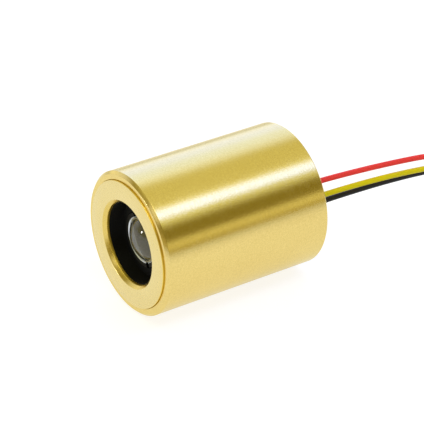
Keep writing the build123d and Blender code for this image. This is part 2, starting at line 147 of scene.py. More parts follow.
def makeTurnedMarks():
    # tool marks run round the Y axis: their phase is distance along the axis plus radius
    group, given, out = newGroup(
        "turnedMarks",
        [("Vector", "NodeSocketVector", None), ("Pitch", "NodeSocketFloat", 2700.0),
         ("Drift", "NodeSocketFloat", 800.0), ("Speckle", "NodeSocketFloat", 4000.0)],
        [("Marks", "NodeSocketFloat"), ("Grain", "NodeSocketFloat"), ("Mottle", "NodeSocketFloat")],
    )
    links = group.links
    split = addNode(group, "ShaderNodeSeparateXYZ")
    links.new(given.outputs["Vector"], split.inputs[0])
    flat = addNode(group, "ShaderNodeCombineXYZ")
    links.new(split.outputs["X"], flat.inputs["X"])
    links.new(split.outputs["Z"], flat.inputs["Z"])
    radius = addNode(group, "ShaderNodeVectorMath", operation="LENGTH")
    links.new(flat.outputs[0], radius.inputs[0])
    phase = addNode(group, "ShaderNodeMath", operation="ADD")
    links.new(split.outputs["Y"], phase.inputs[0])
    links.new(radius.outputs["Value"], phase.inputs[1])
    along = addNode(group, "ShaderNodeMath", operation="MULTIPLY")
    links.new(phase.outputs[0], along.inputs[0])
    links.new(given.outputs["Pitch"], along.inputs[1])
    around = addNode(group, "ShaderNodeVectorMath", operation="SCALE")
    links.new(flat.outputs[0], around.inputs[0])
    links.new(given.outputs["Drift"], around.inputs["Scale"])
    lift = addNode(group, "ShaderNodeCombineXYZ")
    links.new(along.outputs[0], lift.inputs["Y"])
    joined = addNode(group, "ShaderNodeVectorMath", operation="ADD")
    links.new(around.outputs["Vector"], joined.inputs[0])
    links.new(lift.outputs[0], joined.inputs[1])
    marks = addNode(group, "ShaderNodeTexNoise", {"Scale": 1.0, "Detail": 3.0, "Roughness": 0.6})
    links.new(joined.outputs["Vector"], marks.inputs["Vector"])
    grain = addNode(group, "ShaderNodeTexNoise", {"Detail": 2.0, "Roughness": 0.7})
    links.new(given.outputs["Vector"], grain.inputs["Vector"])
    links.new(given.outputs["Speckle"], grain.inputs["Scale"])
    mottle = addNode(group, "ShaderNodeTexNoise", {"Scale": 260.0, "Detail": 4.0, "Roughness": 0.55})
    links.new(given.outputs["Vector"], mottle.inputs["Vector"])
    links.new(marks.outputs[0], out.inputs["Marks"])
    links.new(grain.outputs[0], out.inputs["Grain"])
    links.new(mottle.outputs[0], out.inputs["Mottle"])
    return group


def makeFineGrain():
    group, given, out = newGroup(
        "fineGrain",
        [("Vector", "NodeSocketVector", None), ("Scale", "NodeSocketFloat", 4000.0),
         ("Clouds", "NodeSocketFloat", 300.0)],
        [("Grain", "NodeSocketFloat"), ("Cloud", "NodeSocketFloat")],
    )
    links = group.links
    grain = addNode(group, "ShaderNodeTexNoise", {"Detail": 3.0, "Roughness": 0.6})
    links.new(given.outputs["Vector"], grain.inputs["Vector"])
    links.new(given.outputs["Scale"], grain.inputs["Scale"])
    cloud = addNode(group, "ShaderNodeTexNoise", {"Detail": 3.0, "Roughness": 0.5})
    links.new(given.outputs["Vector"], cloud.inputs["Vector"])
    links.new(given.outputs["Clouds"], cloud.inputs["Scale"])
    links.new(grain.outputs[0], out.inputs["Grain"])
    links.new(cloud.outputs[0], out.inputs["Cloud"])
    return group


turnedMarks = makeTurnedMarks()
fineGrain = makeFineGrain()
quarterTurn = 0.25


# Finishes

def turnedMetal(name, look):
    material, tree, shader, coords = newMaterial(name, {"Metallic": 1.0, **look.get("fixed", {})})
    marks = placeGroup(tree, turnedMarks, coords)
    mask = marks.outputs["Mottle"]
    if look.get("flecks"):
        # fine grain in the colour, over the broad mottle
        flecked = addNode(tree, "ShaderNodeMix", {"Factor": look["flecks"]}, data_type="FLOAT")
        tree.links.new(mask, flecked.inputs["A"])
        tree.links.new(spread(tree, marks.outputs["Grain"], 0.0, 1.0), flecked.inputs["B"])
        mask = flecked.outputs["Result"]
    colour = blendColours(tree, mask, look["dark"], look["light"])
    tree.links.new(colour, shader.inputs["Base Color"])
    rough = spread(tree, marks.outputs["Marks"], *look["roughness"])
    tree.links.new(rough, shader.inputs["Roughness"])
    height = addNode(tree, "ShaderNodeMix", {"Factor": look["speckleShare"]}, data_type="FLOAT")
    tree.links.new(marks.outputs["Marks"], height.inputs["A"])
    tree.links.new(marks.outputs["Grain"], height.inputs["B"])
    bumpFrom(tree, shader, height.outputs["Result"], look["depth"])
    if look.get("brushed"):
        # light spreads along the axis, square to the marks
        shader.inputs["Anisotropic"].default_value = look["brushed"]
        shader.inputs["Anisotropic Rotation"].default_value = quarterTurn
        tangent = addNode(tree, "ShaderNodeTangent", direction_type="RADIAL", axis="Y")
        tree.links.new(tangent.outputs[0], shader.inputs["Tangent"])
    return material


def mouldedFinish(name, look):
    material, tree, shader, coords = newMaterial(name, look.get("fixed", {}))
    grain = placeGroup(tree, fineGrain, coords, look.get("grain"))
    colour = blendColours(tree, grain.outputs["Cloud"], look["dark"], look["light"])
    tree.links.new(colour, shader.inputs["Base Color"])
    rough = spread(tree, grain.outputs["Cloud"], *look["roughness"])
    tree.links.new(rough, shader.inputs["Roughness"])
    bumpFrom(tree, shader, grain.outputs["Grain"], look["depth"])
    return material


def clearGlass(name, look):
    material, tree, shader, coords = newMaterial(name, {"Transmission Weight": 1.0, **look["fixed"]})
    grain = placeGroup(tree, fineGrain, coords, look.get("grain"))
    rough = spread(tree, grain.outputs["Cloud"], *look["roughness"])
    tree.links.new(rough, shader.inputs["Roughness"])
    colour = blendColours(tree, grain.outputs["Cloud"], look["dark"], look["light"])
    tree.links.new(colour, shader.inputs["Base Color"])
    return material


# Turned pieces

turning = {
    "steps": 256,
    "mergeDistance": 1e-7,
    "cornerAngle": math.radians(25),
    "sharpAngle": math.radians(40),
    "breakSegments": 3,
}


def drawOutline(mesh, start, outline):
    # adds corners (radius, y) after the start corner, joined by edges
    last = start
    for radius, y in outline:
        corner = mesh.verts.new((radius, y, 0))
        if last:
            mesh.edges.new((last, corner))
        last = corner
    return last


def turnRing(name, outline, edgeBreak, materials):
    mesh = bmesh.new()
    last = drawOutline(mesh, None, outline)
    mesh.verts.ensure_lookup_table()
    mesh.edges.new((last, mesh.verts[0]))
    turnOutline(mesh, edgeBreak)
    return finishPiece(name, mesh, materials)


def turnOutline(mesh, edgeBreak):
    bmesh.ops.spin(mesh, geom=mesh.verts[:] + mesh.edges[:], cent=(0, 0, 0), axis=(0, 1, 0),
                   angle=2 * math.pi, steps=turning["steps"], use_merge=True)
    bmesh.ops.remove_doubles(mesh, verts=mesh.verts, dist=turning["mergeDistance"])
    bmesh.ops.recalc_face_normals(mesh, faces=mesh.faces)
    corners = [edge for edge in mesh.edges
               if edge.is_manifold and edge.calc_face_angle() > turning["cornerAngle"]]
    bmesh.ops.bevel(mesh, geom=corners, offset=edgeBreak, offset_type="OFFSET", affect="EDGES",
                    segments=turning["breakSegments"], profile=0.5, material=-1, clamp_overlap=True)


def finishPiece(name, mesh, materials):
    data = bpy.data.meshes.new(name)
    mesh.to_mesh(data)
    mesh.free()
    data.shade_smooth()
    data.set_sharp_from_angle(angle=turning["sharpAngle"])
    piece = bpy.data.objects.new(name, data)
    bpy.context.scene.collection.objects.link(piece)
    for material in materials:
        data.materials.append(material)
    even = piece.modifiers.new("evenNormals", "WEIGHTED_NORMAL")
    even.keep_sharp = True
    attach(piece, "root")
    return piece


def stations(node):
    # a turned node's front, rear and radius
    low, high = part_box(node)
    return low.y, high.y, high.x


def reach(side):
    # how far a face lies from the axis
    return math.hypot(side.center.x, side.center.z)


# Barrel

barrel = {
    "rimChamfer": 0.4 * mm,
    "rearChamfer": 0.2 * mm,
    "rimWall": 1.1 * mm,
    "frontWall": 2.5 * mm,
    "rearWall": 2.0 * mm,
    "webWidth": 2.0 * mm,
    "webThickness": 1.0 * mm,
    "shoulderDepth": 3.2 * mm,
    "edgeBreak": 0.03 * mm,
    "brass": {
        "dark": (0.775, 0.585, 0.185),
        "light": (0.875, 0.695, 0.265),
        "roughness": (0.185, 0.25),
        "depth": 0.0075 * mm,
        "speckleShare": 0.85,
        "flecks": 0.65,
        "brushed": 0.6,
        "fixed": {"Coat Weight": 0.06, "Coat Roughness": 0.2, "Specular Tint": (0.97, 0.96, 0.82, 1)},
    },
}


def makeBarrel():
    front, rear, radius = stations("housing")
    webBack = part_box("diode_mount")[0].y
    webFront = webBack - barrel["webThickness"]
    frontBore = radius - barrel["frontWall"]
    rearBore = radius - barrel["rearWall"]
    rimBore = radius - barrel["rimWall"]
    webBore = frontBore - barrel["webWidth"]
    shoulder = front + barrel["shoulderDepth"]
    outline = [
        (radius - barrel["rimChamfer"], front), (radius, front + barrel["rimChamfer"]),
        (radius, rear - barrel["rearChamfer"]), (radius - barrel["rearChamfer"], rear),
        (rearBore, rear), (rearBore, webBack), (webBore, webBack), (webBore, webFront),
        (frontBore, webFront), (frontBore, shoulder), (rimBore, shoulder), (rimBore, front),
    ]
    piece = turnRing("barrel", outline, barrel["edgeBreak"], [turnedMetal("satinBrass", barrel["brass"])])
    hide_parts("housing")


# Front ring

frontRing = {
    "openingRadius": 5.75 * mm,
    "openingBevel": 0.45 * mm,
    "lip": 0.85 * mm,
    "lipTaper": 0.05 * mm,
    "collarRadius": 6.6 * mm,
    "edgeBreak": 0.06 * mm,
    "facedBrass": {
        "dark": (0.80, 0.65, 0.26),
        "light": (0.85, 0.70, 0.30),
        "roughness": (0.22, 0.30),
        "depth": 0.0003 * mm,
        "speckleShare": 0.4,
        "brushed": 0.3,
        "fixed": {"Coat Weight": 0.12, "Coat Roughness": 0.2},
    },
    # a darker, more saturated copy of the face's brass: painted inter-reflection between the brass walls
    "openingBrassPaintedBounce": {
        "dark": (0.76, 0.57, 0.14),
        "light": (0.82, 0.63, 0.19),
        "roughness": (0.22, 0.30),
        "depth": 0.0010 * mm,
        "speckleShare": 0.4,
        "brushed": 0.3,
    },
    # a brighter, more saturated copy of the face's brass: painted light from inter-reflection on the wall
    "wallBrassPaintedBounce": {
        "dark": (0.85, 0.61, 0.09),
        "light": (0.91, 0.67, 0.12),
        "roughness": (0.38, 0.48),
        "depth": 0.0010 * mm,
        "speckleShare": 0.4,
    },
}


def makeFrontRing():
    face, back, radius = stations("front_ring")
    opening = frontRing["openingRadius"]
    lipBack = face + frontRing["lip"]
    outline = [
        (opening + frontRing["openingBevel"], face), (radius, face), (radius, back),
        (frontRing["collarRadius"], back), (frontRing["collarRadius"], lipBack),
        (opening - frontRing["lipTaper"], lipBack), (opening, face + frontRing["openingBevel"]),
    ]
    finishes = [turnedMetal(name, frontRing[name]) for name in ("facedBrass", "openingBrassPaintedBounce", "wallBrassPaintedBounce")]
    piece = turnRing("frontRing", outline, frontRing["edgeBreak"], finishes)
    # the opening and the ring's outer side take the painted inter-reflection copies
    for side in piece.data.polygons:
        if reach(side) < opening + frontRing["openingBevel"]:
            side.material_index = 1 if side.center.y < face + frontRing["openingBevel"] else 2
        elif reach(side) > radius - frontRing["edgeBreak"] / 2:
            side.material_index = 2
    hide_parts("front_ring")


# Lens cell, retainer and lens

lensCell = {
    "mouthRadius": 5.6 * mm,
    "collarRadius": 6.55 * mm,
    "flangeThickness": 1.2 * mm,
    "bodyRadius": 7.45 * mm,
    "recessFloorRadius": 4.95 * mm,
    "recessDepth": 1.6 * mm,
    "apertureRadius": 2.9 * mm,
    "flare": 1.2 * mm,
    "clearance": 0.05 * mm,
    "edgeBreak": 0.04 * mm,
    "black": {
        "dark": (0.002, 0.002, 0.002),
        "light": (0.004, 0.004, 0.004),
        "roughness": (0.42, 0.52),
        "depth": 0.001 * mm,
        "speckleShare": 0.5,
        "fixed": {"Metallic": 0.0, "Specular IOR Level": 0.05},
    },
    # the bore behind the lens is painted a pale metal in place of the black finish: painted light that the
    # lens shows as a bright crescent
    "paintedPaleBore": {
        "dark": (0.86, 0.88, 0.92),
        "light": (0.92, 0.94, 0.97),
        "roughness": (0.30, 0.40),
        "depth": 0.001 * mm,
        "speckleShare": 0.5,
    },
}


def makeLensCell():
    mouth, back, flangeRadius = stations("lens_cell")
    ringBack = stations("front_ring")[1]
    lensFront, retainerRadius = stations("lens_retainer")[1:]
    lensBack, lensRadius = stations("collimating_lens")[1:]
    gap = lensCell["clearance"]
    floorY = mouth + lensCell["recessDepth"]
    shoulder = ringBack + lensCell["flangeThickness"]
    aperture = lensCell["apertureRadius"]
    flared = aperture + lensCell["flare"]
    collar, body = lensCell["collarRadius"], lensCell["bodyRadius"]
    outline = [
        (lensCell["mouthRadius"], mouth), (collar, mouth), (collar, ringBack),
        (flangeRadius, ringBack), (flangeRadius, shoulder), (body, shoulder), (body, back),
        (flared, back), (aperture, (lensBack + back) / 2), (aperture, lensBack),
        (lensRadius + gap, lensBack), (lensRadius + gap, lensFront), (retainerRadius + gap, lensFront),
        (retainerRadius + gap, floorY), (lensCell["recessFloorRadius"], floorY),
    ]
    finishes = [turnedMetal("blackAnodise", lensCell["black"]), turnedMetal("paintedPaleBore", lensCell["paintedPaleBore"])]
    piece = turnRing("lensCell", outline, lensCell["edgeBreak"], finishes)
    for side in piece.data.polygons:
        # faces behind the lens take the painted pale bore
        behindLens = lensBack - gap < side.center.y < back - gap
        if behindLens and reach(side) < flared:
            side.material_index = 1
    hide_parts("lens_cell")


lens = {
    "domeRadius": 4.6 * mm,
    "domeEdge": 3.05 * mm,
    "domeSteps": 32,
    "edgeBreak": 0.03 * mm,
    "glass": {
        "dark": (0.95, 0.97, 0.97),
        "light": (0.98, 0.99, 0.98),
        "roughness": (0.0, 0.02),
        "fixed": {"IOR": 1.58, "Sheen Weight": 0.5, "Sheen Roughness": 0.25,
                  "Sheen Tint": (0.95, 0.97, 1.0, 1)},
    },
    # the ground wall and seat, with a painted glow: their emission stands in for the light that the dome
    # gathers
    "groundEdgePaintedGlow": {
        "dark": (0.32, 0.28, 0.16),
        "light": (0.42, 0.38, 0.23),
        "roughness": (0.55, 0.7),
        "depth": 0.002 * mm,
        "grain": {"Scale": 9000.0},
        # painted glow: the ground edge glows though it is no lamp
        "fixed": {"Emission Color": (1.0, 0.93, 0.60, 1), "Emission Strength": 0.03},
    },
}


def makeLens():
    apex, back, flangeRadius = stations("collimating_lens")
    flangeFront = stations("lens_retainer")[1]
    edge = lens["domeEdge"]
    mesh = bmesh.new()
    top = mesh.verts.new((0, apex, 0))
    dome = bmesh.ops.spin(mesh, geom=[top], cent=(0, apex + lens["domeRadius"], 0), axis=(0, 0, 1),
                          angle=math.asin(edge / lens["domeRadius"]), steps=lens["domeSteps"])
    rim = [item for item in dome["geom_last"] if isinstance(item, bmesh.types.BMVert)][0]
    seat = lensCell["apertureRadius"]
    drawOutline(mesh, rim, [(edge, flangeFront), (flangeRadius, flangeFront), (flangeRadius, back),
                            (seat, back), (0, back)])
    turnOutline(mesh, lens["edgeBreak"])
    # the ground wall and seat take the painted glow
    for face in mesh.faces:
        if all(math.hypot(vert.co.x, vert.co.z) > seat - lens["edgeBreak"] for vert in face.verts):
            face.material_index = 1
    piece = finishPiece("lens", mesh, [clearGlass("lensGlass", lens["glass"]),
                                       mouldedFinish("groundGlassPaintedGlow", lens["groundEdgePaintedGlow"])])
    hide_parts("collimating_lens")


# Leads

leads = {
    "diameter": 0.8 * mm,
    "straight": 14.2 * mm,
    "approach": (59.0 * mm, 62.5 * mm),
    "coilCentre": (-2.1 * mm, 67.7 * mm),
    "coilFloor": -9.15 * mm,
    "coilPitch": 0.92 * mm,
    "pointsPerTurn": 24,
    "tailGap": 0.05 * mm,
    "tailInset": 0.2 * mm,
    "splineSteps": 10,
    "roundSteps": 6,
    "insulation": {"roughness": (0.42, 0.55), "depth": 0.0015 * mm,
                   "grain": {"Scale": 3500.0, "Clouds": 420.0}, "fixed": {"Specular IOR Level": 0.15}},
    "red": {
        "hole": (2.265, 1.646), "coilRadius": 4.4 * mm, "turns": 2.2, "length": 0.127,
        "bends": [(2.27, 21.5, 1.26), (2.27, 29.0, 0.61), (2.27, 36.5, -0.3), (2.28, 43.5, -1.9),
                  (2.29, 49.5, -4.4), (2.3, 54.5, -7.3)],
        "dark": (0.94, 0.050, 0.044), "light": (0.98, 0.066, 0.058),
    },
    "yellow": {
        "hole": (2.757, -0.486), "coilRadius": 5.22 * mm, "turns": 1.85, "length": 0.125,
        "bends": [(2.76, 21.5, -0.64), (2.76, 29.0, -1.12), (2.8, 36.5, -1.98), (2.9, 43.5, -3.3),
                  (3.0, 49.5, -5.4), (3.08, 54.5, -7.6)],
        "dark": (0.75, 0.65, 0.001), "light": (0.83, 0.72, 0.003),
    },
    "black": {
        "hole": (1.566, -2.321), "coilRadius": 3.58 * mm, "turns": 2.7, "length": 0.127,
        "bends": [(1.53, 21.5, -2.39), (1.5, 29.0, -2.66), (1.49, 36.5, -3.26), (1.49, 43.5, -4.4),
                  (1.48, 49.5, -6.0), (1.48, 54.5, -7.9)],
        "dark": (0.027, 0.027, 0.036), "light": (0.038, 0.038, 0.050),
    },
}


def leadRoute(look):
    # straight out of the plug, down to the floor, round the coil and straight off it
    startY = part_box("red_lead")[0].y
    holeX, holeZ = (value * mm for value in look["hole"])
    centreX, centreY = leads["coilCentre"]
    radius = look["coilRadius"]
    route = [Vector((holeX, startY, holeZ)), Vector((holeX, leads["straight"], holeZ))]
    route += [Vector(point) * mm for point in look["bends"]]
    route += [Vector((centreX + radius, y, leads["coilFloor"])) for y in leads["approach"]]
    steps = round(look["turns"] * leads["pointsPerTurn"])
    for step in range(steps + 1):
        turn = look["turns"] * step / steps
        angle = 2 * math.pi * turn
        height = leads["coilFloor"] + leads["coilPitch"] * turn
        route.append(Vector((centreX + radius * math.cos(angle), centreY + radius * math.sin(angle), height)))
    along = Vector((-math.sin(angle), math.cos(angle), 0))
    route.append(route[-1] + along * tailLength(radius))
    return route


def tailLength(radius):
    # the tail ends just outside the coil
    coilOuter = leads["yellow"]["coilRadius"] + leads["diameter"] / 2 + leads["tailGap"]
    return math.sqrt(coilOuter ** 2 - (radius - leads["tailInset"]) ** 2) + leads["tailGap"]


def makeLead(colour):
    look = leads[colour]
    route = leadRoute(look)
    curve = bpy.data.curves.new(colour + "Lead", "CURVE")
    curve.dimensions = "3D"
    spline = curve.splines.new("NURBS")
    spline.points.add(len(route) - 1)
    for point, place in zip(spline.points, route):
        point.co = (*place, 1)
    spline.order_u = 3
    spline.use_endpoint_u = True
    spline.resolution_u = leads["splineSteps"]
    curve.bevel_depth = leads["diameter"] / 2
    curve.bevel_resolution = leads["roundSteps"]
    curve.use_fill_caps = True
    finish = {"dark": look["dark"], "light": look["light"], **leads["insulation"]}
    curve.materials.append(mouldedFinish(colour + "Insulation", finish))
    piece = bpy.data.objects.new(colour + "Lead", curve)
    bpy.context.scene.collection.objects.link(piece)
    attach(piece, "root")
    # the red lead also stands for the coil
    replaced = [colour + "_lead"] + (["lead_coil"] if colour == "red" else [])
    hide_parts(*replaced)


# Studio

shot = {
    "azimuth": 56.2,
    "elevation": 29.73,
    "aim": Vector((4.46, -2.38, 3.758)) * mm,
    "distance": 265.79 * mm,
    "lens": 171.58,
    "sensor": 36.0,
    "near": 0.01,
}


def makeCamera():
    azimuth, elevation = (math.radians(shot[key]) for key in ("azimuth", "elevation"))
    back = Vector((math.sin(azimuth) * math.cos(elevation), -math.cos(azimuth) * math.cos(elevation),
                   math.sin(elevation)))
    data = bpy.data.cameras.new("camera")
    data.lens = shot["lens"]
    data.sensor_width = shot["sensor"]
    data.clip_start = shot["near"]
    camera = bpy.data.objects.new("camera", data)
    camera.location = shot["aim"] + back * shot["distance"]
    camera.rotation_mode = "QUATERNION"
    camera.rotation_quaternion = (-back).to_track_quat("-Z", "Y")
    bpy.context.scene.collection.objects.link(camera)
    bpy.context.scene.camera = camera


floorLook = {
    "size": 3.0,
    "drop": 0.05 * mm,
    "glow": 0.80,
    "shade": 0.35,
    "bounce": 0.8,
    # brightness that metal and glass mirror, near the object and far from it, and where it fades
    "mirrored": (0.72, 0.40),
    "fade": (0.045, 0.22),
}


def makeFloor():
    mesh = bmesh.new()
    bmesh.ops.create_grid(mesh, x_segments=1, y_segments=1, size=floorLook["size"])
    level = cadBox[0].z - floorLook["drop"]
    bmesh.ops.translate(mesh, verts=mesh.verts, vec=(0, 0, level))
    data = bpy.data.meshes.new("floor")
    mesh.to_mesh(data)
    mesh.free()
    floor = bpy.data.objects.new("floor", data)
    bpy.context.scene.collection.objects.link(floor)
    data.materials.append(paleFloor())


def paleFloor():
    material = bpy.data.materials.new("paleFloor")
    material.use_nodes = True
    tree = material.node_tree
    tree.nodes.clear()
    out = addNode(tree, "ShaderNodeOutputMaterial")
    path = addNode(tree, "ShaderNodeLightPath")
    mirrored = addNode(tree, "ShaderNodeMath", operation="MAXIMUM")
    tree.links.new(path.outputs["Is Glossy Ray"], mirrored.inputs[0])
    tree.links.new(path.outputs["Is Transmission Ray"], mirrored.inputs[1])
    shown = addNode(tree, "ShaderNodeMath", operation="MAXIMUM")
    tree.links.new(path.outputs["Is Camera Ray"], shown.inputs[0])
    tree.links.new(mirrored.outputs[0], shown.inputs[1])
    coords = addNode(tree, "ShaderNodeTexCoord")
    away = addNode(tree, "ShaderNodeVectorMath", operation="LENGTH")
    tree.links.new(coords.outputs["Object"], away.inputs[0])
    near, far = floorLook["fade"]
    nearGlow, farGlow = floorLook["mirrored"]
    fade = addNode(tree, "ShaderNodeMapRange", {"From Min": near, "From Max": far,
                                                "To Min": nearGlow, "To Max": farGlow})
    tree.links.new(away.outputs["Value"], fade.inputs["Value"])
    bright = addNode(tree, "ShaderNodeMix", {"A": floorLook["glow"]}, data_type="FLOAT")
    tree.links.new(mirrored.outputs[0], bright.inputs["Factor"])
    tree.links.new(fade.outputs["Result"], bright.inputs["B"])
    glow = addNode(tree, "ShaderNodeEmission", {"Color": (1, 1, 1, 1)})
    tree.links.new(bright.outputs["Result"], glow.inputs["Strength"])
    shade = addNode(tree, "ShaderNodeBsdfDiffuse", {"Color": (*[floorLook["shade"]] * 3, 1)})
    both = addNode(tree, "ShaderNodeAddShader")
    tree.links.new(glow.outputs[0], both.inputs[0])
    tree.links.new(shade.outputs[0], both.inputs[1])
    bounce = addNode(tree, "ShaderNodeBsdfDiffuse", {"Color": (*[floorLook["bounce"]] * 3, 1)})
    choose = addNode(tree, "ShaderNodeMixShader")
    tree.links.new(shown.outputs[0], choose.inputs[0])
    tree.links.new(bounce.outputs[0], choose.inputs[1])
    tree.links.new(both.outputs[0], choose.inputs[2])
    tree.links.new(choose.outputs[0], out.inputs["Surface"])
    return material


room = {
    # studio brightness from the horizon up, by the sine of the elevation
    "steps": [
        (0.0, (0.52, 0.45, 0.14)),
        (0.12, (0.50, 0.43, 0.16)),
        (0.22, (0.36, 0.30, 0.10)),
        (0.29, (0.27, 0.225, 0.055)),
        (0.44, (0.26, 0.212, 0.038)),
        (0.62, (0.26, 0.212, 0.038)),
        (0.80, (0.80, 0.78, 0.40)),
        (0.87, (0.76, 0.73, 0.38)),
        (1.0, (0.76, 0.73, 0.41)),
    ],
    # soft patches of light: where they lie, the angles where they end and are full, and what they add
    "patches": {
        "overhead": {"towards": (0.40, -0.10, 0.911), "fades": 22.0, "full": 8.0, "adds": (2.1, 2.1, 2.1)},
        "glint": {"towards": (0.363, -0.483, 0.797), "fades": 13.0, "full": 3.0, "adds": (0.9, 0.9, 0.6)},
        "rearLeft": {"towards": (-0.773, 0.483, 0.411), "fades": 37.0, "full": 2.0,
                     "adds": (0.80, 1.07, 2.1)},
        "rearPeak": {"towards": (-0.82, 0.483, 0.307), "fades": 15.0, "full": 2.0, "adds": (0.0, 0.02, 0.6)},
        "left": {"towards": (-0.94, -0.30, 0.18), "fades": 36.0, "full": 8.0, "adds": (0.60, 0.66, 0.85)},
        "front": {"towards": (0.131, -0.844, 0.52), "fades": 15.0, "full": 3.0, "adds": (0.75, 0.78, 0.85)},
        "frontLeft": {"towards": (-0.36, -0.69, 0.62), "fades": 30.0, "full": 10.0,
                      "adds": (0.09, 0.09, 0.05)},
    },
    # soft strips of light along the barrel's axis, behind it: their angle about that axis from +X to +Z
    "strips": {
        "shoulder": {"round": 57.0, "fades": 20.5, "full": 5.0, "adds": (0.44, 0.50, 0.33)},
        "low": {"round": 13.0, "fades": 8.0, "full": 2.0, "adds": (0.38, 0.39, 0.26)},
        "core": {"round": 61.5, "fades": 10.0, "full": 1.0, "adds": (0.24, 0.58, 3.5)},
    },
    # the strips come in between these values of Y
    "behind": (-0.1, 0.2),
}


def makeRoom():
    world = bpy.data.worlds.new("room")
    bpy.context.scene.world = world
    world.use_nodes = True
    tree = world.node_tree
    tree.nodes.clear()
    out = addNode(tree, "ShaderNodeOutputWorld")
    coords = addNode(tree, "ShaderNodeTexCoord")
    split = addNode(tree, "ShaderNodeSeparateXYZ")
    tree.links.new(coords.outputs["Generated"], split.inputs[0])
    ramp = addNode(tree, "ShaderNodeValToRGB")
    points = ramp.color_ramp.elements
    while len(points) < len(room["steps"]):
        points.new(1.0)
    for point, (place, colour) in zip(points, room["steps"]):
        point.position = place
        point.color = (*colour, 1)
    tree.links.new(split.outputs["Z"], ramp.inputs[0])
    light = ramp.outputs[0]
    for patch in room["patches"].values():
        light = addPatch(tree, coords.outputs["Generated"], light, patch)
    for strip in room["strips"].values():
        light = addStrip(tree, split, light, strip)
    studio = addNode(tree, "ShaderNodeBackground")
    tree.links.new(light, studio.inputs["Color"])
    white = addNode(tree, "ShaderNodeBackground", {"Color": (1, 1, 1, 1), "Strength": 1.0})
    path = addNode(tree, "ShaderNodeLightPath")
    choose = addNode(tree, "ShaderNodeMixShader")
    tree.links.new(path.outputs["Is Camera Ray"], choose.inputs[0])
    tree.links.new(studio.outputs[0], choose.inputs[1])
    tree.links.new(white.outputs[0], choose.inputs[2])
    tree.links.new(choose.outputs[0], out.inputs["Surface"])


def addPatch(tree, direction, light, patch):
    near = addNode(tree, "ShaderNodeVectorMath", operation="DOT_PRODUCT")
    near.inputs[1].default_value = Vector(patch["towards"]).normalized()
    tree.links.new(direction, near.inputs[0])
    return addLight(tree, light, softEdge(tree, near.outputs["Value"], patch), patch["adds"])


def addStrip(tree, split, light, strip):
    flat = addNode(tree, "ShaderNodeCombineXYZ")
    tree.links.new(split.outputs["X"], flat.inputs["X"])
    tree.links.new(split.outputs["Z"], flat.inputs["Z"])
    unit = addNode(tree, "ShaderNodeVectorMath", operation="NORMALIZE")
    tree.links.new(flat.outputs[0], unit.inputs[0])
    turn = math.radians(strip["round"])
    near = addNode(tree, "ShaderNodeVectorMath", operation="DOT_PRODUCT")
    near.inputs[1].default_value = (math.cos(turn), 0, math.sin(turn))
    tree.links.new(unit.outputs["Vector"], near.inputs[0])
    starts, whole = room["behind"]
    behind = addNode(tree, "ShaderNodeMapRange", {"From Min": starts, "From Max": whole},
                     interpolation_type="SMOOTHSTEP")
    tree.links.new(split.outputs["Y"], behind.inputs["Value"])
    mask = addNode(tree, "ShaderNodeMath", operation="MULTIPLY")
    tree.links.new(softEdge(tree, near.outputs["Value"], strip), mask.inputs[0])
    tree.links.new(behind.outputs["Result"], mask.inputs[1])
    return addLight(tree, light, mask.outputs[0], strip["adds"])


def softEdge(tree, closeness, look):
    ends, whole = (math.cos(math.radians(look[key])) for key in ("fades", "full"))
    edge = addNode(tree, "ShaderNodeMapRange", {"From Min": ends, "From Max": whole},
                   interpolation_type="SMOOTHSTEP")
    tree.links.new(closeness, edge.inputs["Value"])
    return edge.outputs["Result"]


def addLight(tree, light, mask, adds):
    mix = addNode(tree, "ShaderNodeMix", data_type="RGBA", blend_type="ADD")
    mix.inputs["B"].default_value = (*adds, 1)
    tree.links.new(mask, mix.inputs["Factor"])
    tree.links.new(light, mix.inputs["A"])
    return mix.outputs["Result"]


# small lamp that the lens mirrors: round is its angle about the barrel's axis from +X to +Z,
# slant its angle along that axis
spark = {
    "round": 162.0,
    "slant": -66.0,
    "distance": 0.35,
    "width": 0.035,
    "length": 0.03,
    "radiance": 26.0,
}


def makeSpark():
    turn, slant = math.radians(spark["round"]), math.radians(spark["slant"])
    towards = Vector((math.cos(turn) * math.cos(slant), math.sin(slant), math.sin(turn) * math.cos(slant)))
    data = bpy.data.lights.new("spark", "AREA")
    data.shape = "RECTANGLE"
    data.size = spark["width"]
    data.size_y = spark["length"]
    data.energy = spark["radiance"] * spark["width"] * spark["length"] * math.pi
    lamp = bpy.data.objects.new("spark", data)
    # it faces the origin, with its second side along the barrel
    side = Vector((0, 1, 0)).cross(towards).normalized()
    along = towards.cross(side)
    rows = zip(side, along, towards, towards * spark["distance"])
    lamp.matrix_world = Matrix((*rows, (0, 0, 0, 1)))
    bpy.context.scene.collection.objects.link(lamp)


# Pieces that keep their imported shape

retainer = {
    "lens_retainer": {"dark": (0.004, 0.004, 0.004), "light": (0.007, 0.007, 0.007),
                      "roughness": (0.30, 0.40), "depth": 0.0008 * mm, "speckleShare": 0.4,
                      "fixed": {"Specular IOR Level": 0.08},
                      # the pale band round the bore is painted light for the lens's bright rim
                      "boreRadius": 3.1 * mm, "edge": 0.12 * mm, "edgeFade": 0.02 * mm,
                      "paintedRim": (0.80, 0.85, 0.93), "paintedRimRoughness": 0.42},
}

